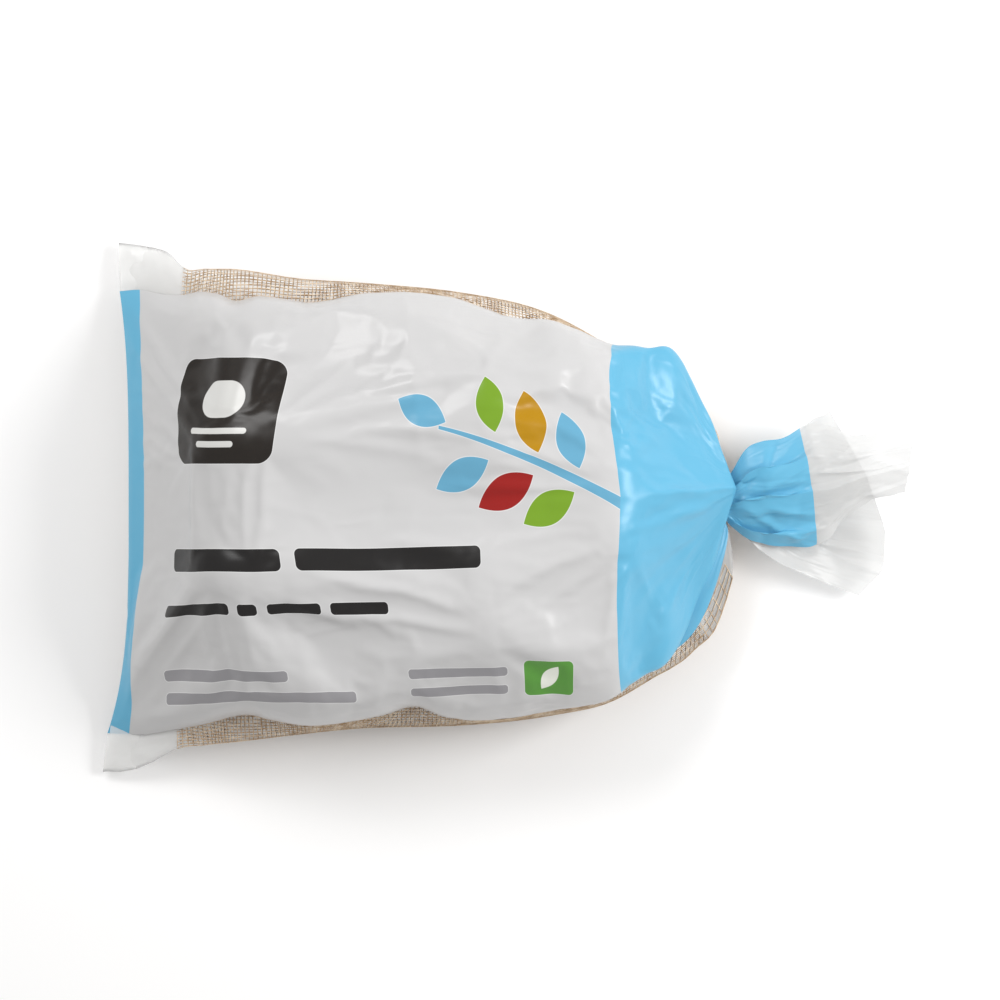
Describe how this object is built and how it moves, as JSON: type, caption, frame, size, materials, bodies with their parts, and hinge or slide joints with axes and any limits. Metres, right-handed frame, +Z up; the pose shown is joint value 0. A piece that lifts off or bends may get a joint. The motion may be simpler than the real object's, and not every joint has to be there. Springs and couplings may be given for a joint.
{
  "type": "bag of potatoes",
  "caption": "Tied retail bag of russet potatoes lying flat: printed film front, open net back, clear film end strips and a gathered neck closed with a wire tie.",
  "frame": {"origin": "under the middle of the bag, on the surface that its net back lies on (bottom centre of the bounding box)", "axes": "+X along the bag from the bottom seam to the open lip beyond the tie, +Y across the bag, +Z up out of the printed front"},
  "size_m": [0.4246, 0.278, 0.1003],
  "materials": {
    "printed_film": "slightly translucent white polyethylene film with sky-blue ends and printed leaves, satin",
    "clear_film": "clear, slightly hazy polyethylene film, creased",
    "net": "open leno net of flat tan polypropylene tapes",
    "tie": "white plastic-coated wire",
    "potato_skin": "dry russet skin: brown, finely netted and corky, with eyes"
  },
  "bodies": {
    "root": {"front_film": "printed_film", "back_net": "net", "bottom_strip": "clear_film", "top_strip": "clear_film", "neck_tie": "tie", "potato_1": "potato_skin", "potato_2": "potato_skin", "potato_3": "potato_skin", "potato_4": "potato_skin", "potato_5": "potato_skin", "potato_6": "potato_skin", "potato_7": "potato_skin", "potato_8": "potato_skin", "potato_9": "potato_skin", "potato_10": "potato_skin", "potato_11": "potato_skin", "potato_12": "potato_skin", "potato_13": "potato_skin"}
  },
  "joints": []
}
